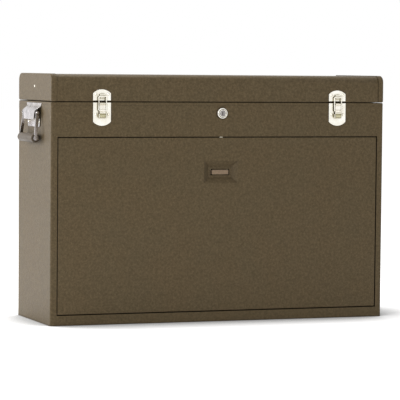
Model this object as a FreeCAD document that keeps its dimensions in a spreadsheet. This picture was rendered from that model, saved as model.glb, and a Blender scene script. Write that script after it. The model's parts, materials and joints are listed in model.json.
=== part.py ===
import FreeCAD, Part
import math
import os
import re

import Sketcher

# Machinist tool chest: a sheet-steel case with a hinged lid over a top till, eleven drawers,
# and a drop front panel that covers them. Millimetres, +Z up, the front faces -Y.
# The origin is the middle of the case's base, on the surface that the chest stands on.

os.makedirs("parts", exist_ok=True)
doc = FreeCAD.newDocument("tool_chest")

# ---------------------------------------------------------------- driving sizes

SIZES = {
    # case
    "case_width": 657.2,
    "case_depth": 209.6,
    "case_height": 406.0,
    "steel": 1.2,
    "corner_radius": 3.6,
    "rim_height": 6.0,
    "rim_width": 10.0,
    "rim_radius": 2.2,
    "stile_width": 12.1,
    "apron_height": 63.2,
    "opening_low": 18.5,
    "lip_width": 4.0,
    "floor_flange": 8.0,
    # lid
    "seam_gap": 0.8,
    "lid_rise": 49.9,
    "lid_radius": 12.0,
    "lid_inset": 0.6,
    "lid_hem": 8.0,
    "cap_flange": 10.4,
    "cap_radius": 3.0,
    "cap_joint": 0.1,
    # top till and drawers
    "till_flange": 10.0,
    "felt": 1.6,
    "drawer_sheet": 0.9,
    "drawer_back_gap": 10.6,
    "drawer_clearance": 1.0,
    "bank_low": 19.0,
    "bank_headroom": 5.3,
    "pitch_small": 38.0,
    "pitch_shelf": 4.0,
    "pitch_shallow": 38.0,
    "pitch_middle": 44.0,
    "pitch_deep": 54.0,
    "front_gap": 2.0,
    "tray_lift": 3.0,
    "tray_headroom": 5.0,
    "runner_reach": 8.0,
    "runner_web": 9.0,
    "runner_seat": 0.3,
    "partition_width": 10.0,
    "pull_width": 38.0,
    "pull_height": 13.0,
    "pull_reach": 8.0,
    "pull_sheet": 1.2,
    "pull_lip": 7.8,
    "pull_bevel": 1.8,
    "pull_inset": 131.5,
    "pull_gap": 1.9,
    # drop front panel
    "panel_gap": 1.5,
    "panel_flange": 8.0,
    "panel_seat": 0.3,
    "panel_radius": 1.6,
    "tab_width": 5.0,
    "tab_rise": 1.1,
    "tab_set_back": 1.8,
    "tab_depth": 4.0,
    "tab_spread": 378.0,
    "recess_width": 67.0,
    "recess_height": 41.5,
    "recess_end_slope": 10.0,
    "recess_side_slope": 10.65,
    "recess_depth": 7.5,
    "recess_drop": 65.8,
    "grip_bar_width": 32.0,
    "grip_bar_height": 8.0,
    "grip_bar_stand": 3.6,
    "grip_slot_width": 4.5,
    "grip_slot_height": 11.0,
    "grip_foot": 5.0,
    # piano hinge
    "hinge_gap": 0.5,
    "hinge_leaf": 1.0,
    "hinge_leaf_width": 14.0,
    "hinge_margin": 26.0,
    "knuckle_radius": 2.4,
    "hinge_pin_radius": 1.2,
    "knuckle_gap": 0.4,
    # draw latches
    "latch_inset": 95.8,
    "latch_width": 34.0,
    "latch_sheet": 1.2,
    "base_drop": 0.8,
    "base_height": 42.2,
    "base_sagitta": 7.5,
    "strike_lift": 2.0,
    "strike_height": 20.4,
    "strike_sagitta": 7.0,
    "hook_lift": 4.2,
    "hook_height": 7.5,
    "hook_inset": 1.0,
    "hook_sheet": 1.0,
    "lever_pivot_drop": 23.7,
    "lever_gap": 0.6,
    "lever_width": 11.4,
    "lever_length": 22.5,
    "lever_barrel": 2.7,
    "lever_sheet": 1.2,
    "lever_curl": 1.8,
    "bail_barrel": 2.0,
    "latch_pin": 1.0,
    "pin_clearance": 0.1,
    "bail_pivot_lift": 9.0,
    "wire": 1.0,
    "wire_bend": 1.8,
    "wire_gap": 0.4,
    "hook_clearance": 0.3,
    "bail_lift": 3.5,
    "side_gap": 0.5,
    "ear": 1.2,
    "ear_reach": 1.9,
    "ear_height": 6.4,
    # lock
    "lock_drop": 20.0,
    "lock_flange": 9.8,
    "lock_flange_thick": 1.6,
    "lock_ring": 8.2,
    "lock_reach": 7.0,
    "lock_bevel": 1.2,
    "lock_barrel": 7.0,
    "lock_length": 16.0,
    "plug_radius": 5.4,
    "plug_inset": 0.6,
    "keyway_width": 1.6,
    "keyway_height": 6.4,
    "keyway_depth": 5.0,
    "running_gap": 0.1,
    "nut_radius": 10.5,
    "nut_thick": 2.5,
    "cam_reach": 15.5,
    "cam_width": 9.0,
    "cam_thick": 2.0,
    # side handles
    "handle_drop": 3.0,
    "hood_top_overhang": 4.5,
    "hood_mid_inset": 3.0,
    "hood_low_inset": 11.5,
    "hood_mid_drop": 14.0,
    "hood_height": 30.0,
    "hood_stand": 12.0,
    "hood_bend_drop": 5.5,
    "hood_sheet": 1.4,
    "foot_drop": 9.0,
    "foot_height": 34.8,
    "foot_radius": 6.0,
    "foot_gap": 3.6,
    "foot_sheet": 1.6,
    "handle_pivot_drop": 17.5,
    "handle_pivot_stand": 7.6,
    "handle_rod": 2.2,
    "handle_rod_end": 3.8,
    "handle_ear": 1.6,
    "handle_ear_reach": 2.2,
    "handle_ear_height": 6.4,
    "handle_ear_inset": 9.5,
    "arm_width": 5.8,
    "arm_thick": 2.2,
    "arm_spread": 84.0,
    "arm_neck": 8.0,
    "arm_eye": 3.8,
    "arm_tip": 4.6,
    "grip_length": 92.0,
    "grip_drop": 46.4,
    "grip_gap": 3.4,
    "grip_radius": 8.2,
    "grip_bevel": 1.6,
    # rivets
    "rivet_radius": 2.4,
    "latch_rivet_inset": 5.3,
    "base_rivet_lift": 21.3,
    "strike_rivet_drop": 8.5,
    "foot_rivet_inset": 6.0,
    "foot_rivet_lift": 9.0,
    "cap_rivet_drop": 21.9,
}

sheet = doc.addObject("Spreadsheet::Sheet", "Sizes")
for row, (alias, number) in enumerate(SIZES.items(), start=1):
    sheet.set("A%d" % row, alias)
    sheet.set("B%d" % row, str(number))
    sheet.setAlias("B%d" % row, alias)
doc.recompute()

ALIASES = re.compile(r"\b(" + "|".join(sorted(SIZES, key=len, reverse=True)) + r")\b")


# ---------------------------------------------------------------- drawing helpers

def number(text):
    """The value of an expression in the sheet's aliases."""
    return float(sheet.evalExpression(str(text)))


def bind(thing, prop, text):
    """Ties a property to an expression in the sheet's aliases."""
    thing.setExpression(prop, ALIASES.sub(r"Sizes.\1", str(text)))


def new_body(label):
    body = doc.addObject("PartDesign::Body", label)
    body.Label = label
    return body


def new_sketch(body, plane, offset):
    """A sketch on one of the body's origin planes, moved along that plane's normal."""
    sketch = body.newObject("Sketcher::SketchObject", "sketch")
    support = [part for part in body.Origin.OriginFeatures if part.Role == plane + "_Plane"][0]
    sketch.AttachmentSupport = [(support, "")]
    sketch.MapMode = "FlatFace"
    bind(sketch, "AttachmentOffset.Base.z", offset)
    return sketch


def fix_point(sketch, curve, end, across, up):
    """Ties one point of a sketch to expressions, measured from the sketch's origin."""
    for kind, text in (("DistanceX", across), ("DistanceY", up)):
        at = sketch.addConstraint(Sketcher.Constraint(kind, -1, 1, curve, end, number(text)))
        bind(sketch, "Constraints[%d]" % at, text)


def draw_polygon(sketch, points):
    """A closed outline through points given as pairs of expressions."""
    corners = [FreeCAD.Vector(number(across), number(up), 0) for across, up in points]
    count = len(corners)
    for index in range(count):
        sketch.addGeometry(Part.LineSegment(corners[index], corners[(index + 1) % count]), False)
    for index in range(count):
        sketch.addConstraint(Sketcher.Constraint("Coincident", index, 2, (index + 1) % count, 1))
    for index, (across, up) in enumerate(points):
        fix_point(sketch, index, 1, across, up)


def draw_circle(sketch, across, up, radius):
    centre = FreeCAD.Vector(number(across), number(up), 0)
    curve = sketch.addGeometry(Part.Circle(centre, FreeCAD.Vector(0, 0, 1), number(radius)), False)
    at = sketch.addConstraint(Sketcher.Constraint("Radius", curve, number(radius)))
    bind(sketch, "Constraints[%d]" % at, radius)
    fix_point(sketch, curve, 3, across, up)


def extrude(body, plane, low, high, draw, cut=False):
    """Pads or pockets what draw(sketch) makes, from low to high along the plane's world axis."""
    start = "-(%s)" % high if plane == "XZ" else low
    sketch = new_sketch(body, plane, start)
    draw(sketch)
    before = body.Tip.Shape.Volume if body.Tip else 0.0
    feature = body.newObject("PartDesign::Pocket" if cut else "PartDesign::Pad", "feature")
    feature.Profile = sketch
    feature.Reversed = cut
    bind(feature, "Length", "(%s) - (%s)" % (high, low))
    doc.recompute()
    if cut and feature.Shape.Volume > before - 1e-3:
        raise ValueError("a pocket of %s cuts nothing" % body.Label)
    return feature


def prism(body, plane, points, low, high, cut=False):
    return extrude(body, plane, low, high, lambda sketch: draw_polygon(sketch, points), cut)


def disc(body, plane, across, up, radius, low, high, cut=False):
    return extrude(body, plane, low, high, lambda sketch: draw_circle(sketch, across, up, radius), cut)


def loft_between(body, plane, outlines, offsets, cut=False):
    """A ruled loft between two outlines in parallel planes."""
    sketches = []
    for outline, offset in zip(outlines, offsets):
        sketch = new_sketch(body, plane, offset)
        draw_polygon(sketch, outline)
        sketches.append(sketch)
    doc.recompute()
    loft = body.newObject("PartDesign::SubtractiveLoft" if cut else "PartDesign::AdditiveLoft", "loft")
    loft.Profile = sketches[0]
    loft.Sections = [sketches[1]]
    loft.Ruled = True
    doc.recompute()


def rectangle(left, right, bottom, top):
    return [(left, bottom), (right, bottom), (right, top), (left, top)]


def block(body, x_span, y_span, z_span, cut=False):
    """A rectangular pad or pocket between two expressions on each axis."""
    return prism(body, "XY", rectangle(*x_span, *y_span), *z_span, cut)


def centred(width):
    """The two ends of a span about zero."""
    return "-(%s) / 2" % width, "(%s) / 2" % width


def dress_edges(body, kind, prop, size, chosen):
    """Adds a fillet or a chamfer on the edges of the body's tip that chosen(edge) picks."""
    base = body.Tip
    names = ["Edge%d" % (index + 1) for index, edge in enumerate(base.Shape.Edges) if chosen(edge)]
    dressing = body.newObject(kind, "dressing")
    dressing.Base = (base, names)
    bind(dressing, prop, size)
    doc.recompute()


def round_edges(body, radius, chosen):
    dress_edges(body, "PartDesign::Fillet", "Radius", radius, chosen)


def bevel_edges(body, size, chosen):
    dress_edges(body, "PartDesign::Chamfer", "Size", size, chosen)


def hollow(body, thickness, removed):
    """Shells the body's tip inwards and takes away the faces that removed(face) picks."""
    base = body.Tip
    names = ["Face%d" % (index + 1) for index, face in enumerate(base.Shape.Faces) if removed(face)]
    shell = body.newObject("PartDesign::Thickness", "shell")
    shell.Base = (base, names)
    shell.Reversed = True
    bind(shell, "Value", thickness)
    doc.recompute()
    return shell


def runs_along(edge, axis):
    """True for a straight edge along axis 0, 1 or 2."""
    if edge.Curve.TypeId != "Part::GeomLine":
        return False
    box = edge.BoundBox
    lengths = (box.XLength, box.YLength, box.ZLength)
    return lengths[axis] > 1e-6 and sum(lengths) - lengths[axis] < 1e-6


def lies_at(shape, axis, text):
    """True where the whole edge or face lies at that height along axis 0, 1 or 2."""
    box = shape.BoundBox
    low = (box.XMin, box.YMin, box.ZMin)[axis]
    high = (box.XMax, box.YMax, box.ZMax)[axis]
    return high - low < 1e-4 and abs(low - number(text)) < 1e-4


def group(label, members):
    """One node that holds several separate solids."""
    made = doc.addObject("Part::Compound", label)
    made.Label = label
    made.Links = members
    return made


# ---------------------------------------------------------------- shared places

FRONT = "-case_depth / 2"
BACK = "case_depth / 2"
OPENING_WIDTH = "(case_width - 2 * stile_width)"
OPENING_HIGH = "(case_height - apron_height)"
RETURN_BACK = FRONT + " + panel_flange + panel_seat + steel"
WRAP_HIGH = "case_height - rim_height"
LID_LOW = "case_height + seam_gap"
LID_HIGH = "case_height + lid_rise"
LID_FRONT = FRONT + " + lid_inset"
LID_BACK = BACK + " - lid_inset"
TILL_LOW = OPENING_HIGH + " + steel"
RECESS_RISE = "(%s - recess_drop)" % OPENING_HIGH
RECESS_BACK = FRONT + " + recess_depth + steel"
DRAWER_FRONT = RECESS_BACK + " + steel + pull_gap + pull_reach"
DRAWER_BACK = BACK + " - steel - drawer_back_gap"
DRAWER_SPAN = OPENING_WIDTH + " - 2 * lip_width - 2 * drawer_clearance"
SMALL_CELL = "(" + DRAWER_SPAN + " - 2 * partition_width) / 3"
SHELF_HIGH = OPENING_HIGH + " - bank_headroom - 2 * pitch_small"
SHELF_LOW = SHELF_HIGH + " - pitch_shelf"
HINGE_Y = BACK + " + knuckle_radius + hinge_gap"
HINGE_Z = "case_height + seam_gap / 2"
SIDES = (("left", -1), ("right", 1))

# Each row of drawers from the bottom up: its name, its lowest point and its pitch. The bottom
# drawer takes the height that the others leave.
MIDDLE_LOW = SHELF_LOW + " - 2 * pitch_shallow - pitch_middle"
WIDE_ROWS = (
    ("bottom", "bank_low", "(%s - pitch_deep - bank_low)" % MIDDLE_LOW),
    ("deep", MIDDLE_LOW + " - pitch_deep", "pitch_deep"),
    ("middle", MIDDLE_LOW, "pitch_middle"),
    ("lower_shallow", MIDDLE_LOW + " + pitch_middle", "pitch_shallow"),
    ("upper_shallow", SHELF_LOW + " - pitch_shallow", "pitch_shallow"),
)
SMALL_ROWS = (
    ("second", SHELF_HIGH, "pitch_small"),
    ("top", SHELF_HIGH + " + pitch_small", "pitch_small"),
)
COLUMNS = (("left", -1), ("centre", 0), ("right", 1))


def toward(side, inner, outer):
    """A span on the left (-1) or right (+1) of the middle plane, from two distances."""
    if side > 0:
        return "(%s)" % inner, "(%s)" % outer
    return "-(%s)" % outer, "-(%s)" % inner


# ---------------------------------------------------------------- case

def make_case_wrap():
    """One sheet bent round the sides and back, ending in the two front stiles."""
    body = new_body("case_wrap")
    block(body, centred("case_width"), centred("case_depth"), ("0", WRAP_HIGH))
    round_edges(body, "corner_radius", lambda edge: runs_along(edge, 2))
    hollow(body, "steel", lambda face: lies_at(face, 2, "0") or lies_at(face, 2, WRAP_HIGH))
    opening = centred(OPENING_WIDTH)
    block(body, opening, (FRONT, FRONT + " + steel"), ("0", WRAP_HIGH), cut=True)
    for _, side in SIDES:
        stile = toward(side, OPENING_WIDTH + " / 2", OPENING_WIDTH + " / 2 + steel")
        lip = toward(side, OPENING_WIDTH + " / 2 - lip_width", OPENING_WIDTH + " / 2 + steel")
        tall = ("opening_low", OPENING_HIGH)
        block(body, stile, (FRONT, RETURN_BACK), tall)
        block(body, lip, (RETURN_BACK + " - steel", RETURN_BACK), tall)
    return body


def make_case_floor():
    body = new_body("case_floor")
    block(body, centred("case_width - 2 * steel"), centred("case_depth - 2 * steel"),
          ("0", "floor_flange"))
    round_edges(body, "corner_radius - steel", lambda edge: runs_along(edge, 2))
    hollow(body, "steel", lambda face: lies_at(face, 2, "floor_flange"))
    return body


def make_top_rim():
    """The rolled edge round the case's mouth, turned inwards."""
    body = new_body("top_rim")
    block(body, centred("case_width"), centred("case_depth"), (WRAP_HIGH, "case_height"))
    round_edges(body, "corner_radius", lambda edge: runs_along(edge, 2))
    round_edges(body, "rim_radius", lambda edge: lies_at(edge, 2, "case_height"))
    hollow(body, "steel", lambda face: lies_at(face, 2, WRAP_HIGH))
    block(body, centred("case_width - 2 * rim_width"), centred("case_depth - 2 * rim_width"),
          (WRAP_HIGH, "case_height"), cut=True)
    return body


def make_front_apron():
    """The strip above the opening, with a return and a lip behind the panel, and the lock's hole."""
    body = new_body("front_apron")
    angle = [(FRONT, WRAP_HIGH), (FRONT, OPENING_HIGH), (RETURN_BACK, OPENING_HIGH),
             (RETURN_BACK, TILL_LOW), (FRONT + " + steel", TILL_LOW), (FRONT + " + steel", WRAP_HIGH)]
    prism(body, "YZ", angle, *centred(OPENING_WIDTH))
    block(body, centred(OPENING_WIDTH + " - 2 * lip_width"), (RETURN_BACK + " - steel", RETURN_BACK),
          (OPENING_HIGH + " - lip_width", OPENING_HIGH))
    disc(body, "XZ", "0", LOCK_RISE, "lock_barrel", FRONT, FRONT + " + steel", cut=True)
    return body


def make_bottom_rail():
    body = new_body("bottom_rail")
    angle = [(FRONT, "0"), (FRONT + " + steel", "0"), (FRONT + " + steel", "opening_low - steel"),
             (RETURN_BACK, "opening_low - steel"), (RETURN_BACK, "opening_low"), (FRONT, "opening_low")]
    prism(body, "YZ", angle, *centred(OPENING_WIDTH))
    return body


def make_till_floor():
    """The pan under the lid, spot-welded to the case on its turned-up edges."""
    body = new_body("till_floor")
    block(body, centred("case_width - 2 * steel"), centred("case_depth - 2 * steel"),
          (TILL_LOW, TILL_LOW + " + till_flange"))
    round_edges(body, "corner_radius - steel", lambda edge: runs_along(edge, 2))
    hollow(body, "steel", lambda face: lies_at(face, 2, TILL_LOW + " + till_flange"))
    return body


def make_till_felt():
    body = new_body("till_felt")
    block(body, centred("case_width - 4 * steel - 2 * corner_radius"),
          centred("case_depth - 4 * steel - 2 * corner_radius"),
          (TILL_LOW + " + steel", TILL_LOW + " + steel + felt"))
    return body


def make_drawer_shelf():
    """The cross sheet that carries the small drawers, with a turned-down front edge."""
    body = new_body("drawer_shelf")
    profile = [(DRAWER_FRONT, SHELF_LOW), (DRAWER_FRONT + " + steel", SHELF_LOW),
               (DRAWER_FRONT + " + steel", SHELF_HIGH + " - steel"),
               (BACK + " - steel", SHELF_HIGH + " - steel"),
               (BACK + " - steel", SHELF_HIGH), (DRAWER_FRONT, SHELF_HIGH)]
    prism(body, "YZ", profile, *centred("case_width - 2 * steel"))
    corner = number(BACK + " - steel")
    round_edges(body, "corner_radius - steel",
                lambda edge: runs_along(edge, 2) and edge.BoundBox.YMin > corner - 1e-4)
    return body


def make_partition(column):
    """A T in plan between two small drawers: a post face and a web that runs to the back."""
    body = new_body("partition")
    middle = "%d * (%s + partition_width) / 2" % (column, SMALL_CELL)
    tall = (SHELF_HIGH, TILL_LOW)
    block(body, (middle + " - partition_width / 2", middle + " + partition_width / 2"),
          (DRAWER_FRONT, DRAWER_FRONT + " + steel"), tall)
    block(body, (middle + " - steel / 2", middle + " + steel / 2"),
          (DRAWER_FRONT, BACK + " - steel"), tall)
    return body


def make_runner(wall, side, low, reach):
    """An angle on a wall: the upright leg is welded to it and the drawer slides on the other."""
    body = new_body("runner")
    top = "%s + tray_lift - runner_seat" % low

    def across(distance):
        return "%s + %d * (%s)" % (wall, side, distance)

    profile = [(across("0"), top + " - steel"), (across(reach), top + " - steel"),
               (across(reach), top), (across("steel"), top),
               (across("steel"), top + " + runner_web"), (across("0"), top + " + runner_web")]
    prism(body, "XZ", profile, DRAWER_FRONT + " + 2 * steel", BACK + " - steel - corner_radius")
    return body


def make_runners():
    runners = []
    wall_reach = "(case_width - (%s)) / 2 - steel + runner_reach" % DRAWER_SPAN
    post_reach = "(partition_width + drawer_clearance - steel) / 2 + runner_reach / 2"
    for _, low, _ in WIDE_ROWS + SMALL_ROWS:
        for _, side in SIDES:
            wall = "%d * (case_width / 2 - steel)" % side
            runners.append(make_runner(wall, -side, low, wall_reach))
    for _, low, _ in SMALL_ROWS:
        for _, column in SIDES:
            post = "%d * (%s + partition_width) / 2" % (column, SMALL_CELL)
            for _, face in SIDES:
                web = "%s + %d * steel / 2" % (post, face)
                runners.append(make_runner(web, face, low, post_reach))
    return runners


# ---------------------------------------------------------------- drawers

def make_drawer(label, middle, width, low, pitch):
    """A folded tray with a taller front that covers the runners below it."""
    body = new_body(label)
    across = ("%s - (%s) / 2" % (middle, width), "%s + (%s) / 2" % (middle, width))
    tray_high = "%s + %s - tray_headroom" % (low, pitch)
    block(body, across, (DRAWER_FRONT, DRAWER_BACK),
          (low + " + tray_lift", tray_high))
    hollow(body, "drawer_sheet", lambda face: lies_at(face, 2, tray_high))
    block(body, across, (DRAWER_FRONT, DRAWER_FRONT + " + 2 * drawer_sheet"),
          (low + " + front_gap / 2", "%s + %s - front_gap / 2" % (low, pitch)))
    round_edges(body, "drawer_sheet", lambda edge: lies_at(edge, 1, DRAWER_FRONT))
    return body


def make_pull(middle, low, pitch):
    """A stamped pull: a flange on the drawer's front, a hood and a turned-down finger edge."""
    body = new_body("pull")

    def out(distance):
        return "%s - (%s)" % (DRAWER_FRONT, distance)

    def down(drop):
        return "%s + %s / 2 + pull_height / 2 - (%s)" % (low, pitch, drop)

    profile = [(out("0"), down("pull_height")), (out("pull_sheet"), down("pull_height")),
               (out("pull_sheet"), down("pull_sheet")),
               (out("pull_reach - 2 * pull_sheet"), down("pull_sheet")),
               (out("pull_reach - pull_sheet"), down("2 * pull_sheet")),
               (out("pull_reach - pull_sheet"), down("pull_lip")),
               (out("pull_reach"), down("pull_lip")), (out("pull_reach"), down("pull_bevel")),
               (out("pull_reach - pull_bevel"), down("0")), (out("0"), down("0"))]
    prism(body, "YZ", profile, "%s - pull_width / 2" % middle, "%s + pull_width / 2" % middle)
    return body


def make_drawers():
    """Every drawer and its pull or pair of pulls, as a list of nodes."""
    nodes = []
    for name, low, pitch in SMALL_ROWS:
        for column_name, column in COLUMNS:
            middle = "%d * (%s + partition_width)" % (column, SMALL_CELL)
            label = "drawer_%s_%s" % (name, column_name)
            nodes.append(make_drawer(label, middle, SMALL_CELL + " - drawer_clearance", low, pitch))
            pull = make_pull(middle, low, pitch)
            pull.Label = "pull_%s_%s" % (name, column_name)
            nodes.append(pull)
    for name, low, pitch in WIDE_ROWS:
        nodes.append(make_drawer("drawer_" + name, "0", DRAWER_SPAN, low, pitch))
        pair = [make_pull("%d * ((%s) / 2 - pull_inset)" % (side, DRAWER_SPAN), low, pitch)
                for _, side in SIDES]
        nodes.append(group("pulls_" + name, pair))
    return nodes


# ---------------------------------------------------------------- drop front panel

def recess_outline(width, height, margin):
    half_width = "((%s) / 2 + %s)" % (width, margin)
    half_height = "((%s) / 2 + %s)" % (height, margin)
    return rectangle("-" + half_width, half_width, RECESS_RISE + " - " + half_height,
                     RECESS_RISE + " + " + half_height)


def make_front_panel():
    """A pan with its edges turned back, three tabs on its top, and a drawn finger recess."""
    body = new_body("front_panel")
    panel_back = FRONT + " + panel_flange"
    panel_high = OPENING_HIGH + " - panel_gap"
    block(body, centred(OPENING_WIDTH + " - 2 * panel_gap"), (FRONT, panel_back),
          ("opening_low + panel_gap", panel_high))
    round_edges(body, "panel_radius", lambda edge: lies_at(edge, 1, FRONT) or runs_along(edge, 1))
    hollow(body, "steel", lambda face: lies_at(face, 1, panel_back))
    floor_at = FRONT + " + recess_depth"
    floor_size = ("recess_width - 2 * recess_end_slope", "recess_height - 2 * recess_side_slope")
    outside = (recess_outline("recess_width", "recess_height", "steel"),
               recess_outline(*floor_size, "steel"))
    inside = (recess_outline("recess_width", "recess_height", "0"), recess_outline(*floor_size, "0"))
    loft_between(body, "XZ", outside, ("-(%s + steel / 2)" % FRONT, "-(%s)" % RECESS_BACK))
    loft_between(body, "XZ", inside, ("-(%s)" % FRONT, "-(%s)" % floor_at), cut=True)
    for _, side in SIDES:
        slot = toward(side, "grip_bar_width / 2 - 1.5 * steel",
                      "grip_bar_width / 2 - 1.5 * steel + grip_slot_width")
        block(body, slot, (floor_at, RECESS_BACK),
              (RECESS_RISE + " - grip_slot_height / 2", RECESS_RISE + " + grip_slot_height / 2"), cut=True)
    for place in (-1, 0, 1):
        middle = "%d * tab_spread / 2" % place
        block(body, (middle + " - tab_width / 2", middle + " + tab_width / 2"),
              (FRONT + " + tab_set_back", FRONT + " + tab_set_back + tab_depth"),
              (panel_high + " - steel", panel_high + " + tab_rise"))
    return body


def make_grip_bar():
    """A strap that stands across the recess; its feet are turned out behind the recess floor."""
    body = new_body("panel_grip_bar")
    face = FRONT + " + recess_depth - grip_bar_stand"
    outline = []
    for _, side in SIDES:
        half = "%d * (grip_bar_width / 2" % side
        leg = [(half + ")", face), (half + ")", RECESS_BACK), (half + " + grip_foot)", RECESS_BACK),
               (half + " + grip_foot)", RECESS_BACK + " + steel"),
               (half + " - steel)", RECESS_BACK + " + steel"),
               (half + " - steel)", face + " + steel")]
        outline += leg if side > 0 else leg[::-1]
    prism(body, "XY", outline, RECESS_RISE + " - grip_bar_height / 2",
          RECESS_RISE + " + grip_bar_height / 2")
    return body


# ---------------------------------------------------------------- lid

def make_lid_wrap():
    """One sheet bent over the front, top and back, with its lower edges turned in."""
    body = new_body("lid_wrap")
    span = centred("case_width - 2 * cap_radius - 2 * cap_joint")
    section = rectangle(LID_FRONT, LID_BACK, LID_LOW, LID_HIGH)
    prism(body, "YZ", section, *span)
    round_edges(body, "lid_radius", lambda edge: runs_along(edge, 0) and lies_at(edge, 2, LID_HIGH))
    round_edges(body, "rim_radius", lambda edge: runs_along(edge, 0) and lies_at(edge, 2, LID_LOW))
    hollow(body, "steel", lambda face: lies_at(face, 0, span[0]) or lies_at(face, 0, span[1]))
    block(body, span, (LID_FRONT + " + lid_hem", LID_BACK + " - lid_hem"),
          (LID_LOW, LID_LOW + " + steel"), cut=True)
    for _, side in SIDES:
        inside_cap = toward(side, "case_width / 2 - cap_flange - 2 * cap_joint", "case_width / 2")
        block(body, inside_cap, (LID_FRONT, LID_BACK),
              (LID_LOW, LID_LOW + " + rim_radius + 2 * cap_joint"), cut=True)
    return body


def make_cap_form(label, side, margin, inner):
    """A filled lid end, margin inside the finished cap's surface, from inner to its end face."""
    body = new_body(label)
    lap = "cap_joint + steel - %s" % margin
    low = LID_LOW + " + " + margin
    high = LID_HIGH + " + " + lap
    outer = "case_width / 2 - %s" % margin
    prism(body, "YZ", rectangle(LID_FRONT + " - (%s)" % lap, LID_BACK + " + (%s)" % lap, low, high),
          *toward(side, inner, outer))
    round_edges(body, "lid_radius + " + lap,
                lambda edge: runs_along(edge, 0) and lies_at(edge, 2, high))
    round_edges(body, "rim_radius - " + margin,
                lambda edge: runs_along(edge, 0) and lies_at(edge, 2, low))
    round_edges(body, "cap_radius - " + margin,
                lambda edge: lies_at(edge, 0, "%d * (%s)" % (side, outer)))
    return body


def make_lid_end(name, side):
    """A drawn end cap whose flange laps over the wrapped sheet."""
    cap = doc.addObject("Part::Cut", "lid_end_" + name)
    cap.Label = "lid_end_" + name
    cap.Base = make_cap_form("cap_outside", side, "0", "case_width / 2 - cap_flange")
    cap.Tool = make_cap_form("cap_inside", side, "steel", "case_width / 2 - cap_flange - steel")
    return cap


# ---------------------------------------------------------------- piano hinge

KNUCKLES = 17
HINGE_LENGTH = "(case_width - 2 * hinge_margin)"
KNUCKLE_PITCH = HINGE_LENGTH + " / %d" % KNUCKLES


def make_hinge_leaf(label, first, leaf_y, leaf_z, web_z):
    """A leaf with every second knuckle, from the first: barrels and webs repeated along X."""
    body = new_body(label)
    block(body, centred(HINGE_LENGTH), leaf_y, leaf_z)
    start = "-%s / 2 + %d * %s + knuckle_gap / 2" % (HINGE_LENGTH, first, KNUCKLE_PITCH)
    end = start + " + %s - knuckle_gap" % KNUCKLE_PITCH
    web_y = (leaf_y[0], HINGE_Y + " - knuckle_radius + hinge_leaf")
    web = block(body, (start, end), web_y, web_z)
    barrel = disc(body, "YZ", HINGE_Y, HINGE_Z, "knuckle_radius", start, end)
    copies = (KNUCKLES - first + 1) // 2
    pattern = body.newObject("PartDesign::LinearPattern", "knuckles")
    pattern.Originals = [web, barrel]
    along = [part for part in body.Origin.OriginFeatures if part.Role == "X_Axis"][0]
    pattern.Direction = (along, [""])
    bind(pattern, "Length", "%d * %s" % (2 * (copies - 1), KNUCKLE_PITCH))
    pattern.Occurrences = copies
    body.Tip = pattern
    doc.recompute()
    disc(body, "YZ", HINGE_Y, HINGE_Z, "hinge_pin_radius + running_gap / 2",
         *centred(HINGE_LENGTH), cut=True)
    return body


def make_hinge():
    clear = "knuckle_radius + hinge_leaf"
    case_leaf = make_hinge_leaf("hinge_leaf_case", 0, (BACK, BACK + " + hinge_leaf"),
                                (HINGE_Z + " - hinge_leaf_width", HINGE_Z + " - (%s)" % clear),
                                (HINGE_Z + " - (%s) - hinge_leaf" % clear, HINGE_Z))
    lid_leaf = make_hinge_leaf("hinge_leaf_lid", 1, (LID_BACK, LID_BACK + " + hinge_leaf"),
                               (HINGE_Z + " + " + clear, HINGE_Z + " + hinge_leaf_width"),
                               (HINGE_Z, HINGE_Z + " + %s + hinge_leaf" % clear))
    pin = new_body("hinge_pin")
    disc(pin, "YZ", HINGE_Y, HINGE_Z, "hinge_pin_radius", *centred(HINGE_LENGTH))
    return [case_leaf, lid_leaf, pin]


# ---------------------------------------------------------------- draw latches

def draw_tombstone(sketch, middle, width, square_end, arc_end, sagitta):
    """A plate outline: square at one end and bowed at the other, above or below it."""
    rise = 1 if number(arc_end) > number(square_end) else -1
    half = "(%s) / 2" % width
    radius = "((%s) ^ 2 + (%s) ^ 2) / (2 * (%s))" % (half, sagitta, sagitta)
    shoulder = "%s - %d * (%s)" % (arc_end, rise, sagitta)
    left, right = "%s - %s" % (middle, half), "%s + %s" % (middle, half)
    path = [(left, shoulder), (left, square_end), (right, square_end), (right, shoulder)]
    points = [FreeCAD.Vector(number(across), number(up), 0) for across, up in path]
    for index in range(3):
        sketch.addGeometry(Part.LineSegment(points[index], points[index + 1]), False)
    crown = FreeCAD.Vector(number(middle), number(arc_end), 0)
    bow = sketch.addGeometry(Part.Arc(points[3], crown, points[0]), False)
    for index in range(2):
        sketch.addConstraint(Sketcher.Constraint("Coincident", index, 2, index + 1, 1))
    first, last = (1, 2) if rise > 0 else (2, 1)
    sketch.addConstraint(Sketcher.Constraint("Coincident", 2, 2, bow, first))
    sketch.addConstraint(Sketcher.Constraint("Coincident", 0, 1, bow, last))
    for index, (across, up) in enumerate(path[:3]):
        fix_point(sketch, index, 1, across, up)
    fix_point(sketch, 2, 2, *path[3])
    at = sketch.addConstraint(Sketcher.Constraint("Radius", bow, number(radius)))
    bind(sketch, "Constraints[%d]" % at, radius)


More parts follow.
